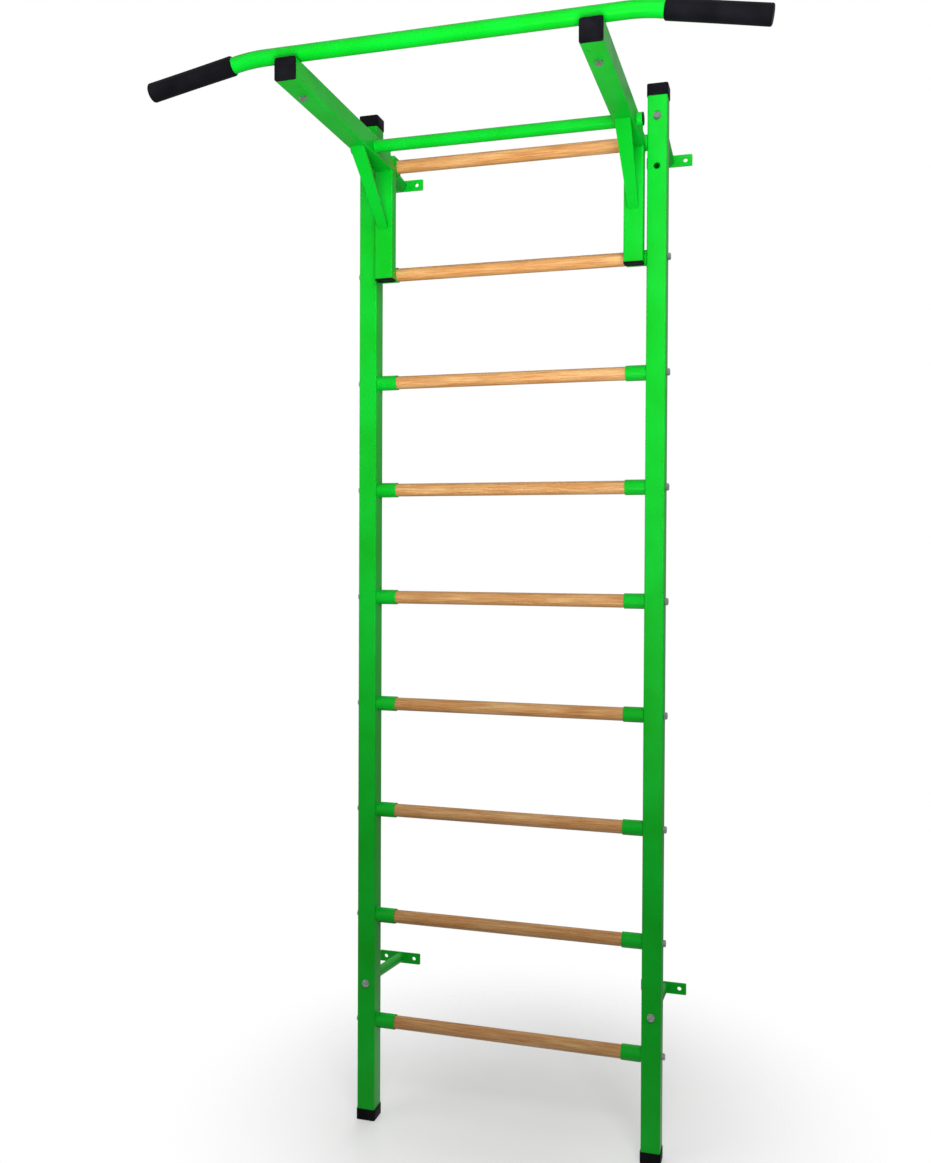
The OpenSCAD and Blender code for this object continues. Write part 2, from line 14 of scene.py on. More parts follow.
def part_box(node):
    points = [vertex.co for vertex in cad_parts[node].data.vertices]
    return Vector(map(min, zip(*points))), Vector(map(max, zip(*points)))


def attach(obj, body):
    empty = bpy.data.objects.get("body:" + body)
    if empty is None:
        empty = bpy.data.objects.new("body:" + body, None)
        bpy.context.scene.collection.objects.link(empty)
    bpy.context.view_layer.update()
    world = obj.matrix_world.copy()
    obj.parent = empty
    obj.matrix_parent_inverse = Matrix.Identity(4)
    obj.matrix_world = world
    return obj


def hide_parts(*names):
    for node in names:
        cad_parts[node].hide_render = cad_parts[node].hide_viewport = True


bl_info = {
    "name": "Wall Bars",
    "version": (1, 0, 0),
    "blender": (4, 5, 0),
    "location": "3D View > Sidebar > Wall Bars",
    "description": "Builds the finished surfaces of wall bars with a pull-up frame",
    "category": "Add Mesh",
}

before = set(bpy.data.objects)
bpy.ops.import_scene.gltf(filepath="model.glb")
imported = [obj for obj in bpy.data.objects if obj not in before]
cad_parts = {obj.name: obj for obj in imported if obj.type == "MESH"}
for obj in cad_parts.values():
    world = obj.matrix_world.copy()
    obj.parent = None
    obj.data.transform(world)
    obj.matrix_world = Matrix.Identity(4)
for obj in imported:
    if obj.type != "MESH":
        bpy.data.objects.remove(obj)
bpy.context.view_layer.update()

LADDER = "ladder"
PULL_UP_FRAME = "pull_up_frame"
SIDES = ("left", "right")
RUNGS = [f"rung_{i}" for i in range(1, 10)]
BOLTED_RUNGS = RUNGS[1:]
FINISHES = {
    "green_paint": "powder_coat",
    "beech": "lacquered_beech",
    "black_plastic": "moulded_plastic",
    "grip_rubber": "soft_grip",
    "zinc_steel": "zinc_plate",
}

EASED = 35.0  # degrees between faces above which an edge of a turned piece stays crisp
MOULDED = 50.0  # the same for moulded pieces and bent tubes
WELDED = 60.0  # the same for weld beads
SINK = 0.0006  # depth of the shallow dish in a cap's end
PLUG_SINK = 0.0010  # depth of the shallow dish in a plug's end
PLUG_STEP = 0.0022  # how much a plug's neck is smaller than its flange
PLUG_NECK = 0.008  # length of a plug's neck inside the tube
DOWEL_EDGE = 0.0008  # radius of the edges of the rungs' ends
BOSS_RUN = 0.022  # level length of a stand-off before it turns down
BOSS_BEND = 0.006  # length on both sides of that corner over which it bends
GRIP_OFFSET = 0.006  # straight length between the bar's bend and a grip
GRIP_EDGE = 0.0032  # radius of the grips' ends
THREAD_GAP = 0.0005  # clearance of a washer's hole round its bolt


# ---- Sizes and colours that a user would change ----


class WallBarsSizes(bpy.types.PropertyGroup):
    """Small sizes of the finish that the frame leaves open."""

    edge_round: bpy.props.FloatProperty(
        name="Edge Round",
        description="Radius of the moulded edges of caps and plugs",
        default=0.0012,
        min=0.0002,
        unit="LENGTH",
    )
    cap_wall: bpy.props.FloatProperty(
        name="Cap Wall",
        description="Wall thickness of the caps over the posts",
        default=0.0015,
        unit="LENGTH",
    )
    tube_corner: bpy.props.FloatProperty(
        name="Tube Corner",
        description="Outer corner radius of the square tubes",
        default=0.003,
        unit="LENGTH",
    )
    sleeve_wall: bpy.props.FloatProperty(
        name="Sleeve Wall",
        description="Wall thickness of the rung sleeves",
        default=0.0015,
        unit="LENGTH",
    )
    bead: bpy.props.FloatProperty(
        name="Weld Bead",
        description="Leg of the weld beads round the tubes",
        default=0.0022,
        unit="LENGTH",
    )
    plug_flange: bpy.props.FloatProperty(
        name="Plug Flange",
        description="Thickness of the plugs outside the tubes",
        default=0.004,
        unit="LENGTH",
    )
    head_width: bpy.props.FloatProperty(
        name="Head Width",
        description="Width of the hexagon heads across their flats",
        default=0.013,
        unit="LENGTH",
    )
    head_height: bpy.props.FloatProperty(
        name="Head Height",
        description="Height of the hexagon heads",
        default=0.0053,
        unit="LENGTH",
    )
    washer: bpy.props.FloatProperty(
        name="Washer",
        description="Diameter of the washers",
        default=0.016,
        unit="LENGTH",
    )
    bolt: bpy.props.FloatProperty(
        name="Bolt",
        description="Thread diameter of the bolts",
        default=0.008,
        unit="LENGTH",
    )
    bend_radius: bpy.props.FloatProperty(
        name="Bar Bend Radius",
        description="Radius of the pull-up bar's bends, to its axis",
        default=0.315,
        unit="LENGTH",
    )
    end_fall: bpy.props.FloatProperty(
        name="Bar End Fall",
        description="Angle at which the pull-up bar's ends slope down",
        default=math.radians(10.5),
        subtype="ANGLE",
    )
    grip_length: bpy.props.FloatProperty(
        name="Grip Length",
        description="Length of each soft grip along the bar",
        default=0.170,
        unit="LENGTH",
    )


class WallBarsFinish(bpy.types.PropertyGroup):
    """Colours of the finishes."""

    paint: bpy.props.FloatVectorProperty(
        name="Paint",
        description="Colour of the powder coat",
        subtype="COLOR",
        size=3,
        default=(0.0, 0.35, 0.016),
    )
    paint_deep: bpy.props.FloatVectorProperty(
        name="Deep Paint",
        description="Colour of the powder coat where it lies thick",
        subtype="COLOR",
        size=3,
        default=(0.0, 0.285, 0.006),
    )
    beech_light: bpy.props.FloatVectorProperty(
        name="Light Beech",
        description="Colour of the early wood",
        subtype="COLOR",
        size=3,
        default=(0.52, 0.315, 0.132),
    )
    beech_dark: bpy.props.FloatVectorProperty(
        name="Dark Beech",
        description="Colour of the late wood and the flecks",
        subtype="COLOR",
        size=3,
        default=(0.27, 0.105, 0.030),
    )
    plastic: bpy.props.FloatVectorProperty(
        name="Plastic",
        description="Colour of the caps and plugs",
        subtype="COLOR",
        size=3,
        default=(0.002, 0.002, 0.003),
    )
    rubber: bpy.props.FloatVectorProperty(
        name="Grip",
        description="Colour of the soft grips",
        subtype="COLOR",
        size=3,
        default=(0.002, 0.002, 0.003),
    )
    zinc: bpy.props.FloatVectorProperty(
        name="Zinc",
        description="Colour of the plated bolts and washers",
        subtype="COLOR",
        size=3,
        default=(0.78, 0.79, 0.81),
    )


class WallBarsStage(bpy.types.PropertyGroup):
    """Floor and lights."""

    floor_colour: bpy.props.FloatVectorProperty(
        name="Floor",
        description="Colour of the floor",
        subtype="COLOR",
        size=3,
        default=(0.80, 0.80, 0.80),
    )
    floor_reach: bpy.props.FloatProperty(
        name="Floor Reach",
        description="Distance from the ladder at which the floor has faded out",
        default=0.85,
        unit="LENGTH",
    )
    sky: bpy.props.FloatProperty(
        name="Sky",
        description="Brightness of the soft light from above",
        default=0.52,
        min=0.0,
    )
    key_power: bpy.props.FloatProperty(
        name="Key Light",
        description="Power of the soft light in front and above",
        default=31.0,
        min=0.0,
        unit="POWER",
    )
    fill_power: bpy.props.FloatProperty(
        name="Fill Light",
        description="Power of the soft light on the left",
        default=16.0,
        min=0.0,
        unit="POWER",
    )
    back_power: bpy.props.FloatProperty(
        name="Back Light",
        description="Power of the soft light on the wall side",
        default=60.0,
        min=0.0,
        unit="POWER",
    )
    low_power: bpy.props.FloatProperty(
        name="Low Light",
        description="Power of the soft light near the floor, under the arms",
        default=25.0,
        min=0.0,
        unit="POWER",
    )


# ---- Surfaces ----


def triangle_volume(points, faces):
    """Six times the signed volume: the sum of p0 . (p1 x p2) over fans."""
    total = 0.0
    for quad in (faces[:, [0, 1, 2]], faces[:, [0, 2, 3]]):
        a, b, c = (points[quad[:, k]] for k in range(3))
        total += float((a * np.cross(b, c)).sum())
    return total


def ring_faces(rows, sides, loop):
    """Quads between neighbouring rings; with loop, the last ring meets the first."""
    row = np.arange(rows if loop else rows - 1)[:, None]
    side = np.arange(sides)[None, :]
    below, above = row * sides, ((row + 1) % rows) * sides
    after = (side + 1) % sides
    quads = np.stack(
        np.broadcast_arrays(below + side, below + after, above + after, above + side),
        axis=-1,
    )
    return quads.reshape(-1, 4)


def ring_solid(rings, loop=False):
    """Points and faces of a closed solid through rings of shape (rows, sides, 3).

    Without loop the two end rings are closed by flat faces; with loop the last
    ring joins the first, which gives a tube with a wall. Faces point outwards.
    """
    rows, sides = rings.shape[:2]
    points = rings.reshape(-1, 3)
    quads = ring_faces(rows, sides, loop)
    centre = points.mean(axis=0)
    outward = triangle_volume(points - centre, quads) > 0
    ends = []
    if not loop:
        first = np.arange(sides)[::-1]
        last = np.arange(sides) + (rows - 1) * sides
        ends = [first, last]
    if not outward:
        quads = quads[:, ::-1]
        ends = [end[::-1] for end in ends]
    return points, quads.tolist() + [end.tolist() for end in ends]


def joined(solids):
    """Several solids' points and faces as one list of points and one of faces."""
    points, faces, start = [], [], 0
    for solid_points, solid_faces in solids:
        points.append(solid_points)
        faces += [[index + start for index in face] for face in solid_faces]
        start += len(solid_points)
    return np.concatenate(points), faces


def across(axis):
    """Two unit vectors square to an axis, which make a right-handed set with it."""
    axis = np.asarray(axis, float) / np.linalg.norm(axis)
    other = np.array([0.0, 0.0, 1.0]) if abs(axis[2]) < 0.9 else np.array([1.0, 0.0, 0.0])
    first = np.cross(other, axis)
    first /= np.linalg.norm(first)
    return axis, first, np.cross(axis, first)


def turned(profile, centre, axis, sides=64, flats=None):
    """Rings of a turned shape: centre + d axis + r(t) (cos t u + sin t v).

    profile rows are (distance along the axis, radius). With flats, the radius is
    held inside a hexagon of that width: r = min(radius, flats / 2 / cos(t')),
    t' being the angle from the nearest flat's middle.
    """
    profile = np.asarray(profile, float)
    axis, first, second = across(axis)
    turn = np.arange(sides) * 2 * np.pi / sides
    radius = np.repeat(profile[:, 1:2], sides, axis=1)
    if flats is not None:
        from_flat = (turn + np.pi / 6) % (np.pi / 3) - np.pi / 6
        radius = np.minimum(radius, flats / 2 / np.cos(from_flat)[None, :])
    spokes = np.cos(turn)[:, None] * first + np.sin(turn)[:, None] * second
    along = profile[:, 0][:, None, None] * axis
    return np.asarray(centre) + along + radius[:, :, None] * spokes[None]


def swept(path, normal, radius, sides=64):
    """Rings of a round tube along a flat path: p + radius (cos t n + sin t b).

    n is the path's plane normal and b the cross product of the tangent and n.
    """
    path = np.asarray(path, float)
    tangent = np.gradient(path, axis=0)
    tangent /= np.linalg.norm(tangent, axis=1)[:, None]
    normal = np.asarray(normal, float)
    side = np.cross(tangent, normal)
    turn = np.arange(sides) * 2 * np.pi / sides
    ring = (
        np.cos(turn)[None, :, None] * normal
        + np.sin(turn)[None, :, None] * side[:, None, :]
    )
    return path[:, None, :] + radius * ring


def oblong_rings(profile, centre, axis, width, depth, corner_steps=6):
    """Rings of an oblong with round corners carried along an axis.

    profile rows are (distance, inset, corner radius). Each corner is an arc of
    that radius about (width / 2 - inset - r, depth / 2 - inset - r) and its three
    mirror images.
    """
    profile = np.asarray(profile, float)
    axis, first, second = across(axis)
    quarter = np.linspace(0, np.pi / 2, corner_steps + 1)
    turn = (np.arange(4)[:, None] * np.pi / 2 + quarter).ravel()
    sign_a = np.repeat([1.0, -1.0, -1.0, 1.0], corner_steps + 1)
    sign_b = np.repeat([1.0, 1.0, -1.0, -1.0], corner_steps + 1)
    inset, round_ = profile[:, 1:2], profile[:, 2:3]
    a = sign_a * (width / 2 - inset - round_) + round_ * np.cos(turn)
    b = sign_b * (depth / 2 - inset - round_) + round_ * np.sin(turn)
    along = profile[:, 0][:, None, None] * axis
    return np.asarray(centre) + along + a[:, :, None] * first + b[:, :, None] * second


def rounded_end(distance, radius, edge, inward, steps=4):
    """Profile rows of a quarter-round edge of a turned end.

    The rows run from the full radius to radius - edge: distance + inward edge
    (1 - sin t), radius - edge + edge cos t.
    """
    t = np.linspace(0, np.pi / 2, steps + 1)
    return np.stack(
        [distance + inward * edge * (1 - np.sin(t)), radius - edge + edge * np.cos(t)],
        axis=1,
    )


# ---- Pieces ----


def finish_mesh(name, points, faces, body, slot_name, replaced, sharp=EASED):
    """Makes a mesh piece at the origin, smooth apart from edges over an angle."""
    mesh = bpy.data.meshes.new(name)
    mesh.from_pydata(points.tolist(), [], faces)
    mesh.validate()
    mesh.polygons.foreach_set("use_smooth", np.ones(len(mesh.polygons), bool))
    mesh.set_sharp_from_angle(angle=math.radians(sharp))
    mesh.update()
    piece = bpy.data.objects.new(name, mesh)
    bpy.context.scene.collection.objects.link(piece)
    mesh.materials.append(bpy.data.materials[FINISHES[slot_name]])
    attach(piece, body)
    if replaced:
        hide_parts(*replaced)
    return piece


def merged_copy(node, body, slot_name):
    """A CAD node's surface with its loose triangles joined and its curves smooth."""
    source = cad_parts[node].data
    points = np.zeros(len(source.vertices) * 3, np.float32)
    source.vertices.foreach_get("co", points)
    corners = np.zeros(len(source.loops), np.int32)
    source.loops.foreach_get("vertex_index", corners)
    places, where = np.unique(
        np.round(points.reshape(-1, 3), 6), axis=0, return_inverse=True
    )
    triangles = where.ravel()[corners].reshape(-1, 3)
    kept = (
        (triangles[:, 0] != triangles[:, 1])
        & (triangles[:, 1] != triangles[:, 2])
        & (triangles[:, 2] != triangles[:, 0])
    )
    return finish_mesh(
        f"{node}_shell", places, triangles[kept].tolist(), body, slot_name, [node]
    )


def extent(node):
    """The lowest and highest corner of a CAD node's box."""
    return tuple(np.array(corner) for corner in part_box(node))


def middle(node):
    """The centre of a CAD node's box."""
    low, high = extent(node)
    return (low + high) / 2


def side_sign(side):
    """-1 for the left and 1 for the right."""
    return -1.0 if side == "left" else 1.0


# ---- Finishes ----


def new_finish(name):
    """An empty node material with a Principled shader; returns its parts."""
    material = bpy.data.materials.new(name)
    material.use_nodes = True
    tree = material.node_tree
    tree.nodes.clear()
    output = tree.nodes.new("ShaderNodeOutputMaterial")
    shader = tree.nodes.new("ShaderNodeBsdfPrincipled")
    tree.links.new(shader.outputs["BSDF"], output.inputs["Surface"])
    place = tree.nodes.new("ShaderNodeTexCoord")
    return material, tree, shader, place.outputs["Object"]


def stretched(tree, place, scale):
    """Object coordinates scaled by a different amount on each axis."""
    mapping = tree.nodes.new("ShaderNodeMapping")
    mapping.inputs["Scale"].default_value = scale
    tree.links.new(place, mapping.inputs["Vector"])
    return mapping.outputs["Vector"]


def noise(tree, place, scale, detail=2.0, roughness=0.5, distortion=0.0):
    """A noise texture's value."""
    texture = tree.nodes.new("ShaderNodeTexNoise")
    texture.inputs["Scale"].default_value = scale
    texture.inputs["Detail"].default_value = detail
    texture.inputs["Roughness"].default_value = roughness
    texture.inputs["Distortion"].default_value = distortion
    tree.links.new(place, texture.inputs["Vector"])
    return texture.outputs["Fac"]


def ramp(tree, value, stops):
    """A colour ramp over a value; stops are (position, colour)."""
    node = tree.nodes.new("ShaderNodeValToRGB")
    elements = node.color_ramp.elements
    while len(elements) < len(stops):
        elements.new(0.5)
    for element, (position, colour) in zip(elements, stops):
        element.position = position
        element.color = (*colour, 1.0)
    tree.links.new(value, node.inputs["Fac"])
    return node.outputs["Color"]


def spread(tree, value, low, high):
    """A value of 0 to 1 moved to low to high."""
    node = tree.nodes.new("ShaderNodeMapRange")
    node.inputs["To Min"].default_value = low
    node.inputs["To Max"].default_value = high
    tree.links.new(value, node.inputs["Value"])
    return node.outputs["Result"]


def mixed(tree, factor, first, second, blend="MIX"):
    """Two colours mixed by a factor, which is a socket or a number."""
    node = tree.nodes.new("ShaderNodeMix")
    node.data_type = "RGBA"
    node.blend_type = blend
    for socket, value in ((node.inputs[0], factor), (node.inputs[6], first), (node.inputs[7], second)):
        if isinstance(value, bpy.types.NodeSocket):
            tree.links.new(value, socket)
        elif isinstance(value, float):
            socket.default_value = value
        else:
            socket.default_value = (*value, 1.0)
    return node.outputs[2]


def bumped(tree, shader, height, depth, strength=1.0):
    """Surface relief from a height value, with its depth in metres."""
    node = tree.nodes.new("ShaderNodeBump")
    node.inputs["Strength"].default_value = strength
    node.inputs["Distance"].default_value = depth
    tree.links.new(height, node.inputs["Height"])
    tree.links.new(node.outputs["Normal"], shader.inputs["Normal"])


def powder_coat(colours):
    """Glossy green powder coat: a faint cloud of colour and fine orange peel."""
    material, tree, shader, place = new_finish("powder_coat")
    cloud = noise(tree, place, 9.0, detail=3.0)
    colour = ramp(
        tree, cloud, [(0.30, tuple(colours.paint_deep)), (0.68, tuple(colours.paint))]
    )
    tree.links.new(colour, shader.inputs["Base Color"])
    tree.links.new(
        spread(tree, noise(tree, place, 40.0, detail=4.0), 0.26, 0.38),
        shader.inputs["Roughness"],
    )
    shader.inputs["Specular IOR Level"].default_value = 0.22
    bumped(tree, shader, noise(tree, place, 420.0, detail=2.0), 0.00012, 0.5)
    return material


FADE_UP = [(0.36, (0.60, 0.60, 0.60)), (0.62, (0.0, 0.0, 0.0))]


def lacquered_beech(colours):
    """Beech under clear lacquer: long grain along X, bands and short ray flecks."""
    material, tree, shader, place = new_finish("lacquered_beech")
    light, dark = tuple(colours.beech_light), tuple(colours.beech_dark)
    warm = (light[0] * 0.86, light[1] * 0.70, light[2] * 0.52)
    patches = noise(tree, stretched(tree, place, (3.4, 15.0, 15.0)), 2.0, detail=3.0)
    bands = noise(
        tree, stretched(tree, place, (1.1, 34.0, 34.0)), 2.2, detail=4.0, distortion=0.6
    )
    grain = noise(
        tree, stretched(tree, place, (6.0, 190.0, 190.0)), 2.4, detail=5.0, roughness=0.6
    )
    flecks = noise(tree, stretched(tree, place, (60.0, 620.0, 620.0)), 1.6, detail=2.0)
    hearts = noise(
        tree, stretched(tree, place, (2.2, 30.0, 30.0)), 2.6, detail=3.0, distortion=1.2
    )
    base = ramp(tree, patches, [(0.36, warm), (0.60, light)])
    banded = mixed(tree, ramp(tree, bands, FADE_UP), base, warm)
    lined = mixed(tree, ramp(tree, grain, FADE_UP), banded, warm, "MULTIPLY")
    streaked = mixed(
        tree, ramp(tree, hearts, [(0.24, (0.85, 0.85, 0.85)), (0.34, (0.0, 0.0, 0.0))]), lined, dark
    )
    marked = mixed(
        tree, ramp(tree, flecks, [(0.30, (0.6, 0.6, 0.6)), (0.40, (0.0, 0.0, 0.0))]), streaked, dark
    )
    tree.links.new(marked, shader.inputs["Base Color"])
    tree.links.new(spread(tree, grain, 0.34, 0.50), shader.inputs["Roughness"])
    shader.inputs["Specular IOR Level"].default_value = 0.45
    shader.inputs["Coat Weight"].default_value = 0.15
    shader.inputs["Coat Roughness"].default_value = 0.3
    bumped(tree, shader, grain, 0.0002, 0.5)
    return material


def moulded_plastic(colours):
    """Black moulded plastic with a fine eroded skin."""
    material, tree, shader, place = new_finish("moulded_plastic")
    skin = noise(tree, place, 900.0, detail=3.0, roughness=0.6)
    worn = noise(tree, place, 35.0, detail=4.0)
    deep = tuple(colours.plastic)
    pale = tuple(min(1.0, c * 2.0 + 0.001) for c in deep)
    tree.links.new(ramp(tree, worn, [(0.35, deep), (0.75, pale)]), shader.inputs["Base Color"])
    tree.links.new(spread(tree, worn, 0.36, 0.52), shader.inputs["Roughness"])
    shader.inputs["Specular IOR Level"].default_value = 0.08
    bumped(tree, shader, skin, 0.00010, 0.6)
    return material


def soft_grip(colours):
    """Soft black grip: matt with a fine skin and faint patches of lighter tone and roughness."""
    material, tree, shader, place = new_finish("soft_grip")
    skin = noise(tree, place, 1300.0, detail=3.0, roughness=0.65)
    patch = noise(tree, place, 22.0, detail=3.0)
    deep = tuple(colours.rubber)
    pale = tuple(min(1.0, c * 2.0 + 0.001) for c in deep)
    tree.links.new(ramp(tree, patch, [(0.3, deep), (0.8, pale)]), shader.inputs["Base Color"])
    tree.links.new(spread(tree, patch, 0.42, 0.60), shader.inputs["Roughness"])
    shader.inputs["Specular IOR Level"].default_value = 0.10
    bumped(tree, shader, skin, 0.00012, 0.6)
    return material


def zinc_plate(colours):
    """Bright zinc plate: metal with a mottled colour and roughness and a fine grain in its relief."""
    material, tree, shader, place = new_finish("zinc_plate")
    mottle = noise(tree, place, 260.0, detail=4.0)
    bright = tuple(colours.zinc)
    dull = tuple(c * 0.72 for c in bright)
    tree.links.new(ramp(tree, mottle, [(0.3, dull), (0.7, bright)]), shader.inputs["Base Color"])
    shader.inputs["Metallic"].default_value = 1.0
    tree.links.new(spread(tree, mottle, 0.20, 0.42), shader.inputs["Roughness"])
    bumped(tree, shader, noise(tree, place, 1500.0, detail=2.0), 0.00005, 0.5)
    return material


# ---- Operators ----


class WALLBARS_OT_finishes(bpy.types.Operator):
    """Make the paint, beech, plastic, grip and zinc finishes"""

    bl_idname = "wallbars.finishes"
    bl_label = "Finishes"

    def execute(self, context):
        colours = context.scene.wall_bars_finish
        for make in (powder_coat, lacquered_beech, moulded_plastic, soft_grip, zinc_plate):
            make(colours)
        return {"FINISHED"}


class WALLBARS_OT_tubes(bpy.types.Operator):
    """Build the posts, the frame's square tubes, straps, hooks, tabs and plates"""

    bl_idname = "wallbars.tubes"
    bl_label = "Square Tubes and Plates"

    def execute(self, context):
        ladder = [f"{side}_post" for side in SIDES]
        ladder += [f"{level}_{side}_wall_plate" for level in ("upper", "lower") for side in SIDES]
        parts = ("arm", "hanger", "brace", "hook", "bar_tab")
        hung = [f"{side}_{part}" for side in SIDES for part in parts]
        for node in ladder:
            merged_copy(node, LADDER, "green_paint")
        for node in hung:
            merged_copy(node, PULL_UP_FRAME, "green_paint")
        return {"FINISHED"}


def round_over(corner, edge, steps=4):
    """Profile rows (distance, inset, corner radius) of a quarter-round edge.

    They run from the flat end to the full width: edge (1 - sin t) along,
    edge (1 - cos t) in.
    """
    t = np.linspace(np.pi / 2, 0, steps + 1)
    inset = edge * (1 - np.cos(t))
    return np.stack([edge * (1 - np.sin(t)), inset, np.maximum(corner - inset, 2e-4)], axis=1)


def cap_rings(centre, axis, width, height, wall, corner, edge):
    """Rings of a cap: from a shallow dish over its end to its rim round the post."""
    dish = [
        (SINK, width * 0.16, corner),
        (SINK, width * 0.10, corner),
        (0.0, width * 0.07, corner),
    ]
    rim = [
        (height - 0.0004, 0.0, corner),
        (height, 0.0004, corner - 0.0004),
        (height, wall, corner - wall),
        (height - 0.003, wall, corner - wall),
    ]
    profile = np.concatenate([dish, round_over(corner, edge), rim])
    return oblong_rings(profile, centre, axis, width, width)


class WALLBARS_OT_caps(bpy.types.Operator):
    """Build the caps over the ends of the posts"""

    bl_idname = "wallbars.caps"
    bl_label = "Post Caps"

    def execute(self, context):
        sizes = context.scene.wall_bars_sizes
        for side in SIDES:
            for part, direction in (("top_cap", -1.0), ("foot_cap", 1.0)):
                node = f"{side}_{part}"
                low, high = extent(node)
                centre = middle(node)
                centre[2] = high[2] if direction < 0 else low[2]
                rings = cap_rings(
                    centre,
                    (0.0, 0.0, direction),
                    high[0] - low[0],
                    high[2] - low[2],
                    sizes.cap_wall,
                    sizes.tube_corner + sizes.cap_wall,
                    sizes.edge_round,
                )
                finish_mesh(
                    f"{node}_moulding", *ring_solid(rings), LADDER, "black_plastic", [node], MOULDED
                )
        return {"FINISHED"}


class WALLBARS_OT_plugs(bpy.types.Operator):
    """Build the plugs in the ends of the arms, the hangers and the cross tube"""

    bl_idname = "wallbars.plugs"
    bl_label = "Tube Plugs"

    def execute(self, context):
        sizes = context.scene.wall_bars_sizes
        edge, corner = sizes.edge_round, sizes.tube_corner
        for side in SIDES:
            for part, axis, flat in (("arm_plug", 1, 2), ("hanger_plug", 2, 1)):
                node = f"{side}_{part}"
                low, high = extent(node)
                width, depth = high[0] - low[0], high[flat] - low[flat]
                face = middle(node)
                face[axis] = low[axis]
                dish = [
                    (PLUG_SINK, depth * 0.22, corner * 0.7),
                    (PLUG_SINK, depth * 0.13, corner * 0.8),
                    (0.0, depth * 0.10, corner * 0.9),
                ]
                back = [
                    (sizes.plug_flange, 0.0, corner),
                    (sizes.plug_flange, PLUG_STEP, corner - 0.002),
                    (sizes.plug_flange + PLUG_NECK, PLUG_STEP, corner - 0.002),
                ]
                profile = np.concatenate([dish, round_over(corner, edge), back])
                outline = (width, depth) if axis == 1 else (depth, width)
                rings = oblong_rings(profile, face, np.eye(3)[axis], *outline)
                finish_mesh(
                    f"{node}_moulding",
                    *ring_solid(rings),
                    PULL_UP_FRAME,
                    "black_plastic",
                    [node],
                    MOULDED,
                )
        low, high = extent("cross_tube_plugs")
        radius = (high[2] - low[2]) / 2
        centre = middle("cross_tube_plugs")
        solids = []
        for sign, x in ((-1.0, low[0]), (1.0, high[0])):
            profile = np.concatenate(
                [
                    [(0.0, radius * 0.3)],
                    rounded_end(0.0, radius, 0.0011, 1.0)[::-1],
                    [(0.002, radius), (0.002, radius - 0.0016), (0.010, radius - 0.0016)],
                ]
            )
            solids.append(
                ring_solid(turned(profile, (x, centre[1], centre[2]), (-sign, 0.0, 0.0), 48))
            )
        finish_mesh(
            "cross_tube_plug_mouldings",
            *joined(solids),
            PULL_UP_FRAME,
            "black_plastic",
            ["cross_tube_plugs"],
            MOULDED,
        )
        return {"FINISHED"}


class WALLBARS_OT_rungs(bpy.types.Operator):
    """Build the turned wooden rungs"""

    bl_idname = "wallbars.rungs"
    bl_label = "Rungs"

    def execute(self, context):
        for node in RUNGS:
            low, high = extent(node)
            radius = (high[2] - low[2]) / 2
            half = (high[0] - low[0]) / 2
            left_end = rounded_end(-half, radius, DOWEL_EDGE, 1.0)[::-1]
            barrel = np.stack(
                [np.linspace(-half + 0.002, half - 0.002, 40), np.full(40, radius)], axis=1
            )
            right_end = rounded_end(half, radius, DOWEL_EDGE, -1.0)
            profile = np.concatenate([left_end, barrel, right_end])
            rings = turned(profile, middle(node), (1, 0, 0), 72)
            finish_mesh(f"{node}_dowel", *ring_solid(rings), LADDER, "beech", [node])
        return {"FINISHED"}


def wall_tube(centre, axis, start, end, radius, wall, lip=0.0004):
    """Looped rings of a straight tube with a wall and slightly eased ends."""
    profile = [
        (start, radius - lip),
        (start + lip, radius),
        (end - lip, radius),
        (end, radius - lip),
        (end, radius - wall + lip),
        (end - lip, radius - wall),
        (start + lip, radius - wall),
        (start, radius - wall + lip),
    ]
    return turned(profile, centre, axis, 64)


def weld_bead(centre, axis, radius, leg, sides=96):
    """A hollow-faced fillet round a tube where it meets a flat face.

    Across the bead the face is a quarter circle of radius leg about the corner
    point (leg, radius + leg); round the tube its reach varies a little, as
    0.86 + 0.14 cos(23 t), like the ripples that a torch leaves.
    """
    axis, first, second = across(axis)
    t = np.linspace(0, np.pi / 2, 5)
    along = np.concatenate([[0.0], leg * (1 - np.sin(t))[::-1]])
    out = np.concatenate([[0.0], leg * (1 - np.cos(t))[::-1]])
    turn = np.arange(sides) * 2 * np.pi / sides
    ripple = 0.86 + 0.14 * np.cos(23 * turn)
    distance = along[:, None] * ripple
    reach = radius - 0.0002 + out[:, None] * ripple
    spokes = np.cos(turn)[:, None] * first + np.sin(turn)[:, None] * second
    rings = (
        np.asarray(centre)
        + distance[:, :, None] * axis
        + reach[:, :, None] * spokes[None]
    )
    return ring_solid(rings, loop=True)


class WALLBARS_OT_sleeves(bpy.types.Operator):
    """Build the steel sleeves on the posts, and their weld beads"""

    bl_idname = "wallbars.sleeves"
    bl_label = "Rung Sleeves"

    def execute(self, context):
        sizes = context.scene.wall_bars_sizes
        rung_low, rung_high = extent(RUNGS[0])
        rung_radius = (rung_high[2] - rung_low[2]) / 2
        for side in SIDES:
            node = f"{side}_rung_sleeves"
            sign = side_sign(side)
            low, high = extent(node)
            face = low[0] if side == "left" else high[0]
            length = high[0] - low[0]
            radius = (high[1] - low[1]) / 2
            wall = min(sizes.sleeve_wall, radius - rung_radius)
            sleeves, beads = [], []
            for rung in RUNGS:
                centre = middle(rung)
                centre[0] = face
                rings = wall_tube(centre, (-sign, 0, 0), 0.0, length, radius, wall)
                sleeves.append(ring_solid(rings, loop=True))
                beads.append(weld_bead(centre, (-sign, 0, 0), radius, sizes.bead))
            finish_mesh(f"{side}_sleeve_tubes", *joined(sleeves), LADDER, "green_paint", [node])
            finish_mesh(f"{side}_sleeve_welds", *joined(beads), LADDER, "green_paint", [], WELDED)
        return {"FINISHED"}


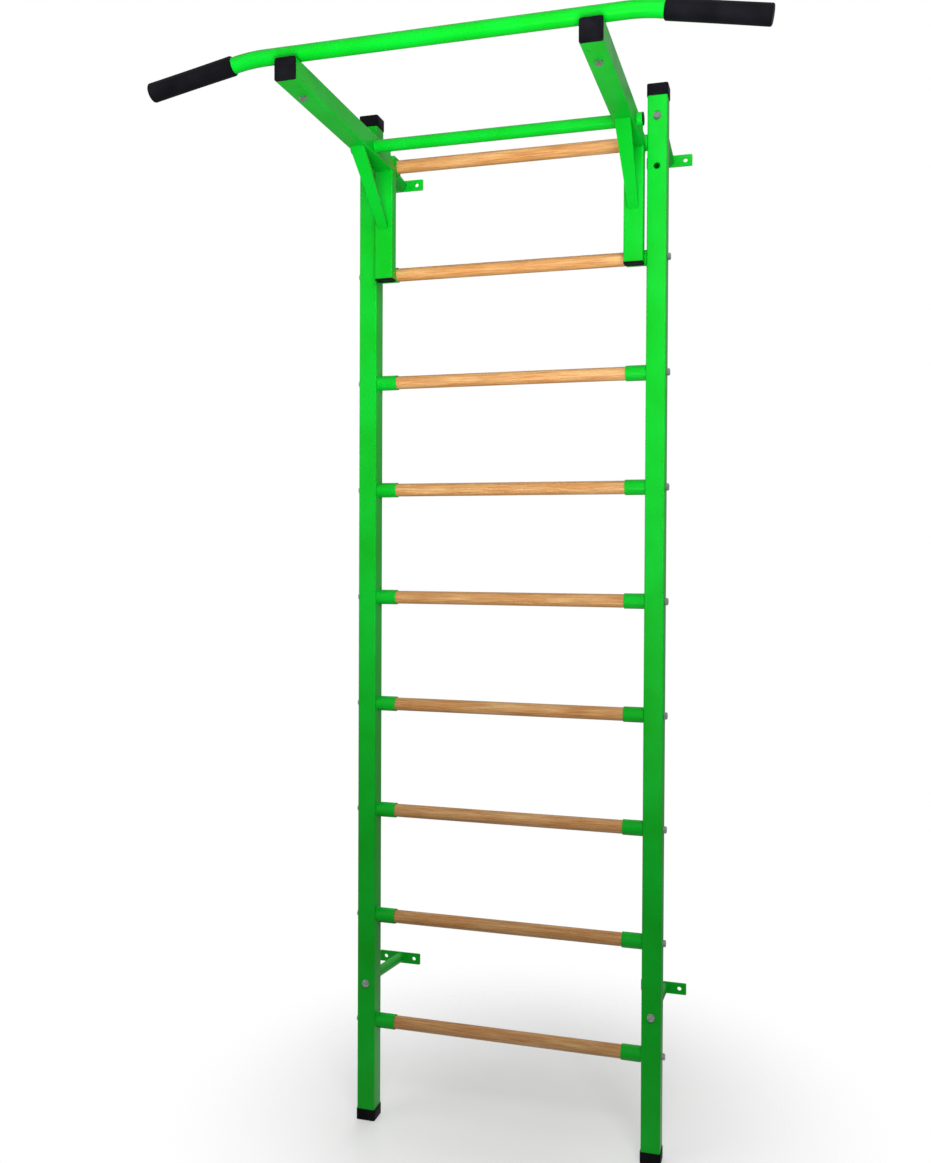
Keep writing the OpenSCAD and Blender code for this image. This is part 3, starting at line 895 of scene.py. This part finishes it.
class WALLBARS_OT_standoffs(bpy.types.Operator):
    """Build the round stand-off tubes of the wall brackets, with weld beads"""

    bl_idname = "wallbars.standoffs"
    bl_label = "Stand-offs"

    def execute(self, context):
        sizes = context.scene.wall_bars_sizes
        for level in ("upper", "lower"):
            for side in SIDES:
                node = f"{level}_{side}_standoff"
                low, high = extent(node)
                plate_low, plate_high = extent(f"{level}_{side}_wall_plate")
                radius = (high[0] - low[0]) / 2
                x = middle(node)[0]
                start = np.array([x, low[1], high[2] - radius])
                end = np.array([x, high[1], (plate_low[2] + plate_high[2]) / 2])
                knee = start + np.array([0.0, BOSS_RUN, 0.0])
                t = np.linspace(0, 1, 9)[:, None]
                fall = (end - knee) / np.linalg.norm(end - knee)
                first, last = knee - np.array([0, BOSS_BEND, 0]), knee + fall * BOSS_BEND
                curve = (1 - t) ** 2 * first + 2 * t * (1 - t) * knee + t**2 * last
                path = np.concatenate([[start], curve, [end]])
                rings = swept(path, (1, 0, 0), radius, 56)
                rings[0, :, 1] = start[1]
                rings[-1, :, 1] = end[1]
                finish_mesh(f"{node}_tube", *ring_solid(rings), LADDER, "green_paint", [node], MOULDED)
                bead = weld_bead(end, (0, -1, 0), radius, sizes.bead)
                finish_mesh(f"{node}_weld", *bead, LADDER, "green_paint", [], WELDED)
        return {"FINISHED"}


class WALLBARS_OT_cross_tube(bpy.types.Operator):
    """Build the cross tube between the arms, with its weld beads"""

    bl_idname = "wallbars.cross_tube"
    bl_label = "Cross Tube"

    def execute(self, context):
        sizes = context.scene.wall_bars_sizes
        low, high = extent("cross_tube")
        centre = middle("cross_tube")
        half = (high[0] - low[0]) / 2
        radius = (high[2] - low[2]) / 2
        rings = wall_tube(centre, (1, 0, 0), -half, half, radius, sizes.sleeve_wall)
        finish_mesh(
            "cross_tube_round",
            *ring_solid(rings, loop=True),
            PULL_UP_FRAME,
            "green_paint",
            ["cross_tube"],
        )
        beads = []
        for side in SIDES:
            arm_low, arm_high = extent(f"{side}_arm")
            for x, way in ((arm_low[0], -1.0), (arm_high[0], 1.0)):
                beads.append(
                    weld_bead((x, centre[1], centre[2]), (way, 0, 0), radius, sizes.bead)
                )
        finish_mesh("cross_tube_welds", *joined(beads), PULL_UP_FRAME, "green_paint", [], WELDED)
        return {"FINISHED"}


def bar_bend(sizes, straight_half, steps=14):
    """The axis of the bar's right bend and the direction in which it leaves it.

    At the angle a it is (s + R sin a, 0, -R (1 - cos a)), s being half of the
    straight length.
    """
    a = np.linspace(0, sizes.end_fall, steps + 1)
    radius = sizes.bend_radius
    bend = np.stack(
        [straight_half + radius * np.sin(a), np.zeros(steps + 1), radius * (np.cos(a) - 1)],
        axis=1,
    )
    way = np.array([math.cos(sizes.end_fall), 0.0, -math.sin(sizes.end_fall)])
    return bend, way


class WALLBARS_OT_bar(bpy.types.Operator):
    """Build the bent pull-up bar and its two soft grips"""

    bl_idname = "wallbars.bar"
    bl_label = "Pull-up Bar and Grips"

    def execute(self, context):
        sizes = context.scene.wall_bars_sizes
        low, high = extent("pull_up_bar")
        radius = (high[1] - low[1]) / 2
        origin = np.array([0.0, (low[1] + high[1]) / 2, high[2] - radius])
        grip_low, grip_high = extent("right_grip")
        grip_radius = (grip_high[1] - grip_low[1]) / 2
        fall = sizes.end_fall
        bar_reach = high[0] - radius * math.sin(fall)
        grip_reach = grip_high[0] - grip_radius * math.sin(fall)
        grip_start = grip_reach - sizes.grip_length * math.cos(fall)
        bend_run = sizes.bend_radius * math.sin(fall)
        straight_half = grip_start - GRIP_OFFSET * math.cos(fall) - bend_run
        bend, way = bar_bend(sizes, straight_half)
        end = bend[-1] + way * (bar_reach - bend[-1][0]) / way[0]
        tail = bend[-1] + (end - bend[-1]) * np.linspace(0.02, 1, 6)[:, None]
        right = np.concatenate([bend, tail])
        left = right[::-1] * np.array([-1.0, 1.0, 1.0])
        path = np.concatenate([left, right]) + origin
        rings = swept(path, (0, 1, 0), radius, 72)
        finish_mesh(
            "pull_up_bar_tube", *ring_solid(rings), PULL_UP_FRAME, "green_paint", ["pull_up_bar"]
        )
        for side in SIDES:
            sign = np.array([side_sign(side), 1.0, 1.0])
            start = (bend[-1] + way * GRIP_OFFSET) * sign + origin
            length = sizes.grip_length
            body = np.stack(
                [
                    np.linspace(GRIP_EDGE, length - GRIP_EDGE, 24),
                    grip_radius - 0.00025 * np.sin(np.linspace(0, np.pi, 24)),
                ],
                axis=1,
            )
            profile = np.concatenate(
                [
                    [(0.012, radius + 0.0002), (0.0, radius + 0.0002)],
                    rounded_end(0.0, grip_radius, GRIP_EDGE, 1.0, 6)[::-1],
                    body,
                    rounded_end(length, grip_radius, GRIP_EDGE, -1.0, 6),
                    [(length, grip_radius * 0.25)],
                ]
            )
            rings = turned(profile, start, way * sign, 72)
            finish_mesh(
                f"{side}_grip_sleeve",
                *ring_solid(rings),
                PULL_UP_FRAME,
                "grip_rubber",
                [f"{side}_grip"],
            )
        return {"FINISHED"}


def hex_head(seat, outward, flats, height):
    """A chamfered hexagon head: a hexagon cut by a cone near its outer face.

    The profile's radius falls from the corners' radius at 0.70 of the height to
    0.92 of the half width at the top, so the flats end in the usual arcs.
    """
    corner = flats / 2 / math.cos(math.pi / 6)
    rise = np.linspace(0.70, 1.0, 7)
    cone = corner + (flats / 2 * 0.92 - corner) * (rise - 0.70) / 0.30
    profile = np.concatenate(
        [
            [(0.0, corner)],
            np.stack([rise * height, cone], axis=1),
            [(height, flats * 0.30), (height - 0.0002, flats * 0.28)],
        ]
    )
    return ring_solid(turned(profile, seat, outward, 96, flats))


def plain_washer(seat, outward, radius, hole, thickness):
    """A flat ring with eased edges, standing on its seat."""
    ease = thickness * 0.22
    profile = [
        (0.0, radius - ease),
        (ease, radius),
        (thickness - ease, radius),
        (thickness, radius - ease),
        (thickness, hole),
        (0.0, hole),
    ]
    return ring_solid(turned(profile, seat, outward, 64), loop=True)


def shank(seat, inward, radius, length):
    """A plain round shank with a tapered point."""
    profile = [(0.0, radius), (length - 0.0015, radius), (length, radius - 0.0012)]
    return ring_solid(turned(profile, seat, inward, 32))


def hex_nut(seat, flats, height, hole):
    """A hexagon nut, chamfered at both faces, round a plain hole."""
    corner = flats / 2 / math.cos(math.pi / 6)
    low_side = flats / 2 * 0.95
    profile = [
        (0.0, low_side),
        (height * 0.14, corner),
        (height * 0.86, corner),
        (height, low_side),
        (height, hole),
        (0.0, hole),
    ]
    return ring_solid(turned(profile, seat, (0, 0, 1), 96, flats), loop=True)


class WALLBARS_OT_bolts(bpy.types.Operator):
    """Build the bolts, washers, nuts and threaded inserts"""

    bl_idname = "wallbars.bolts"
    bl_label = "Bolts and Washers"

    def fasten(self, bolts, washers, body, places, outward, axis):
        """Makes the bolts and washers of several seats, heads on the outward side."""
        sizes = bpy.context.scene.wall_bars_sizes
        bolt_low, bolt_high = extent(bolts)
        washer_low, washer_high = extent(washers)
        thickness = washer_high[axis] - washer_low[axis]
        length = bolt_high[axis] - bolt_low[axis] - sizes.head_height
        way = np.asarray(outward, float)
        heads, rings = [], []
        for place in places:
            top = np.asarray(place) + way * thickness
            heads.append(hex_head(top, way, sizes.head_width, sizes.head_height))
            heads.append(shank(top, -way, sizes.bolt / 2, length))
            rings.append(
                plain_washer(place, way, sizes.washer / 2, sizes.bolt / 2 + THREAD_GAP, thickness)
            )
        finish_mesh(f"{bolts}_turned", *joined(heads), body, "zinc_steel", [bolts])
        finish_mesh(f"{washers}_turned", *joined(rings), body, "zinc_steel", [washers])

    def execute(self, context):
        sizes = context.scene.wall_bars_sizes
        for side in SIDES:
            low, high = extent(f"{side}_rung_washers")
            face = high[0] if side == "left" else low[0]
            places = [middle(rung) * (0, 1, 1) + (face, 0, 0) for rung in BOLTED_RUNGS]
            self.fasten(
                f"{side}_rung_bolts",
                f"{side}_rung_washers",
                LADDER,
                places,
                (side_sign(side), 0, 0),
                0,
            )
            merged_copy(f"{side}_rung_inserts", LADDER, "zinc_steel")
        low, high = extent("bracket_washers")
        radius = sizes.washer / 2
        places = [
            (middle(f"{side}_post")[0], high[1], z)
            for side in SIDES
            for z in (low[2] + radius, high[2] - radius)
        ]
        self.fasten("bracket_bolts", "bracket_washers", LADDER, places, (0, -1, 0), 1)
        low, high = extent("bar_bolt_washers")
        places = [
            (middle(f"{side}_arm")[0], (low[1] + high[1]) / 2, high[2]) for side in SIDES
        ]
        self.fasten("bar_bolts", "bar_bolt_washers", PULL_UP_FRAME, places, (0, 0, -1), 2)
        low, high = extent("bar_bolt_nuts")
        nuts = [
            hex_nut((x, y, low[2]), sizes.head_width, high[2] - low[2], sizes.bolt / 2)
            for x, y, _ in places
        ]
        finish_mesh(
            "bar_bolt_nuts_turned", *joined(nuts), PULL_UP_FRAME, "zinc_steel", ["bar_bolt_nuts"]
        )
        return {"FINISHED"}


class WALLBARS_OT_stage(bpy.types.Operator):
    """Lay the floor and set the lights and the camera"""

    bl_idname = "wallbars.stage"
    bl_label = "Stage"

    def execute(self, context):
        scene = context.scene
        looks = scene.wall_bars_stage
        self.floor(looks, extent("left_foot_cap")[0][2])
        self.world(scene, looks)
        centre = (0.0, 0.0, 0.0)
        self.light("key_light", (1.0, -2.7, 1.5), (0.0, 0.0, 0.7), 1.6, looks.key_power, 110.0)
        self.light("fill_light", (-2.8, -2.4, 0.9), centre, 2.0, looks.fill_power, glints=True)
        self.light("low_light", (0.5, -2.3, -0.5), (0.0, -0.5, 1.3), 1.2, looks.low_power, 80.0)
        self.light("back_light", (-0.6, 3.2, 1.8), centre, 2.4, looks.back_power)
        self.camera(scene)
        scene.view_settings.view_transform = "Standard"
        return {"FINISHED"}

    def floor(self, looks, ground):
        """A square floor 12 m wide, flat under the object: z = ground."""
        reach = 6.0
        edge = np.linspace(-reach, reach, 9)
        x, y = np.meshgrid(edge, edge, indexing="ij")
        points = np.stack([x, y, np.full_like(x, ground)], axis=-1).reshape(-1, 3)
        row = np.arange(8)[:, None] * 9 + np.arange(8)[None, :]
        faces = np.stack([row, row + 9, row + 10, row + 1], axis=-1).reshape(-1, 4)
        mesh = bpy.data.meshes.new("floor")
        mesh.from_pydata(points.tolist(), [], faces.tolist())
        plane = bpy.data.objects.new("floor", mesh)
        bpy.context.scene.collection.objects.link(plane)
        material, tree, shader, place = new_finish("pale_floor")
        pale = tuple(looks.floor_colour)
        soft = noise(tree, place, 3.0, detail=3.0)
        shade = ramp(tree, soft, [(0.3, tuple(c * 0.985 for c in pale)), (0.7, pale)])
        tree.links.new(shade, shader.inputs["Base Color"])
        shader.inputs["Roughness"].default_value = 0.30
        shader.inputs["Specular IOR Level"].default_value = 0.35
        away = tree.nodes.new("ShaderNodeVectorMath")
        away.operation = "LENGTH"
        tree.links.new(stretched(tree, place, (1.0, 1.0, 0.0)), away.inputs[0])
        fade = tree.nodes.new("ShaderNodeMapRange")
        fade.interpolation_type = "SMOOTHSTEP"
        fade.inputs["From Min"].default_value = looks.floor_reach * 0.1
        fade.inputs["From Max"].default_value = looks.floor_reach
        fade.inputs["To Min"].default_value = 1.0
        fade.inputs["To Max"].default_value = 0.0
        tree.links.new(away.outputs["Value"], fade.inputs["Value"])
        tree.links.new(fade.outputs["Result"], shader.inputs["Alpha"])
        mesh.materials.append(material)

    def world(self, scene, looks):
        """A white surround that lights the object more from above than from below."""
        world = bpy.data.worlds.new("pale_surround")
        world.use_nodes = True
        tree = world.node_tree
        tree.nodes.clear()
        place = tree.nodes.new("ShaderNodeTexCoord").outputs["Generated"]
        height = tree.nodes.new("ShaderNodeSeparateXYZ")
        tree.links.new(place, height.inputs["Vector"])
        rise = tree.nodes.new("ShaderNodeMapRange")
        rise.inputs["From Min"].default_value = -0.4
        rise.inputs["From Max"].default_value = 0.9
        rise.inputs["To Min"].default_value = looks.sky * 0.45
        rise.inputs["To Max"].default_value = looks.sky
        tree.links.new(height.outputs["Z"], rise.inputs["Value"])
        light = tree.nodes.new("ShaderNodeBackground")
        tree.links.new(rise.outputs["Result"], light.inputs["Strength"])
        seen = tree.nodes.new("ShaderNodeBackground")
        for background in (light, seen):
            background.inputs["Color"].default_value = (1.0, 1.0, 1.0, 1.0)
        ray = tree.nodes.new("ShaderNodeLightPath")
        either = tree.nodes.new("ShaderNodeMixShader")
        tree.links.new(ray.outputs["Is Camera Ray"], either.inputs["Fac"])
        tree.links.new(light.outputs["Background"], either.inputs[1])
        tree.links.new(seen.outputs["Background"], either.inputs[2])
        output = tree.nodes.new("ShaderNodeOutputWorld")
        tree.links.new(either.outputs["Shader"], output.inputs["Surface"])
        scene.world = world

    def light(self, name, place, target, size, power, cone=180.0, glints=False):
        """A square soft light that faces a target and spreads over a cone of degrees.

        Glossy surfaces mirror it only if it has glints.
        """
        data = bpy.data.lights.new(name, "AREA")
        data.size = size
        data.energy = power
        data.spread = math.radians(cone)
        lamp = bpy.data.objects.new(name, data)
        lamp.location = place
        lamp.visible_glossy = glints
        way = Vector(target) - Vector(place)
        lamp.rotation_mode = "QUATERNION"
        lamp.rotation_quaternion = way.to_track_quat("-Z", "Y")
        bpy.context.scene.collection.objects.link(lamp)

    def camera(self, scene):
        """The camera in front and to the right, at chest height."""
        data = bpy.data.cameras.new("camera")
        data.lens = 34.05
        data.shift_x = -0.0148
        data.shift_y = -0.0107
        camera = bpy.data.objects.new("camera", data)
        turn = (
            Matrix.Rotation(0.28059, 4, "Z")
            @ Matrix.Rotation(math.pi / 2 - 0.01519, 4, "X")
            @ Matrix.Rotation(0.00468, 4, "Z")
        )
        camera.rotation_mode = "QUATERNION"
        camera.rotation_quaternion = turn.to_quaternion()
        camera.location = (0.59644, -2.46003, 0.05216)
        scene.collection.objects.link(camera)
        scene.camera = camera


class WALLBARS_PT_panel(bpy.types.Panel):
    """Lists the steps in the 3D view's sidebar"""

    bl_label = "Wall Bars"
    bl_space_type = "VIEW_3D"
    bl_region_type = "UI"
    bl_category = "Wall Bars"

    def draw(self, context):
        layout = self.layout
        for operator in OPERATORS:
            layout.operator(operator.bl_idname)
        for group in (
            context.scene.wall_bars_sizes,
            context.scene.wall_bars_finish,
            context.scene.wall_bars_stage,
        ):
            box = layout.box()
            for name in group.bl_rna.properties.keys():
                if name not in ("rna_type", "name"):
                    box.prop(group, name)


OPERATORS = (
    WALLBARS_OT_finishes,
    WALLBARS_OT_tubes,
    WALLBARS_OT_caps,
    WALLBARS_OT_plugs,
    WALLBARS_OT_rungs,
    WALLBARS_OT_sleeves,
    WALLBARS_OT_standoffs,
    WALLBARS_OT_cross_tube,
    WALLBARS_OT_bar,
    WALLBARS_OT_bolts,
    WALLBARS_OT_stage,
)
GROUPS = {
    "wall_bars_sizes": WallBarsSizes,
    "wall_bars_finish": WallBarsFinish,
    "wall_bars_stage": WallBarsStage,
}


def register():
    for group in GROUPS.values():
        bpy.utils.register_class(group)
    for name, group in GROUPS.items():
        setattr(bpy.types.Scene, name, bpy.props.PointerProperty(type=group))
    for operator in OPERATORS:
        bpy.utils.register_class(operator)
    bpy.utils.register_class(WALLBARS_PT_panel)


def unregister():
    bpy.utils.unregister_class(WALLBARS_PT_panel)
    for operator in reversed(OPERATORS):
        bpy.utils.unregister_class(operator)
    for name in GROUPS:
        delattr(bpy.types.Scene, name)
    for group in reversed(list(GROUPS.values())):
        bpy.utils.unregister_class(group)


def main():
    """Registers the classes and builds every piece."""
    register()
    bpy.ops.wallbars.finishes()
    bpy.ops.wallbars.tubes()
    bpy.ops.wallbars.caps()
    bpy.ops.wallbars.plugs()
    bpy.ops.wallbars.rungs()
    bpy.ops.wallbars.sleeves()
    bpy.ops.wallbars.standoffs()
    bpy.ops.wallbars.cross_tube()
    bpy.ops.wallbars.bar()
    bpy.ops.wallbars.bolts()
    bpy.ops.wallbars.stage()


if __name__ == "__main__":
    main()
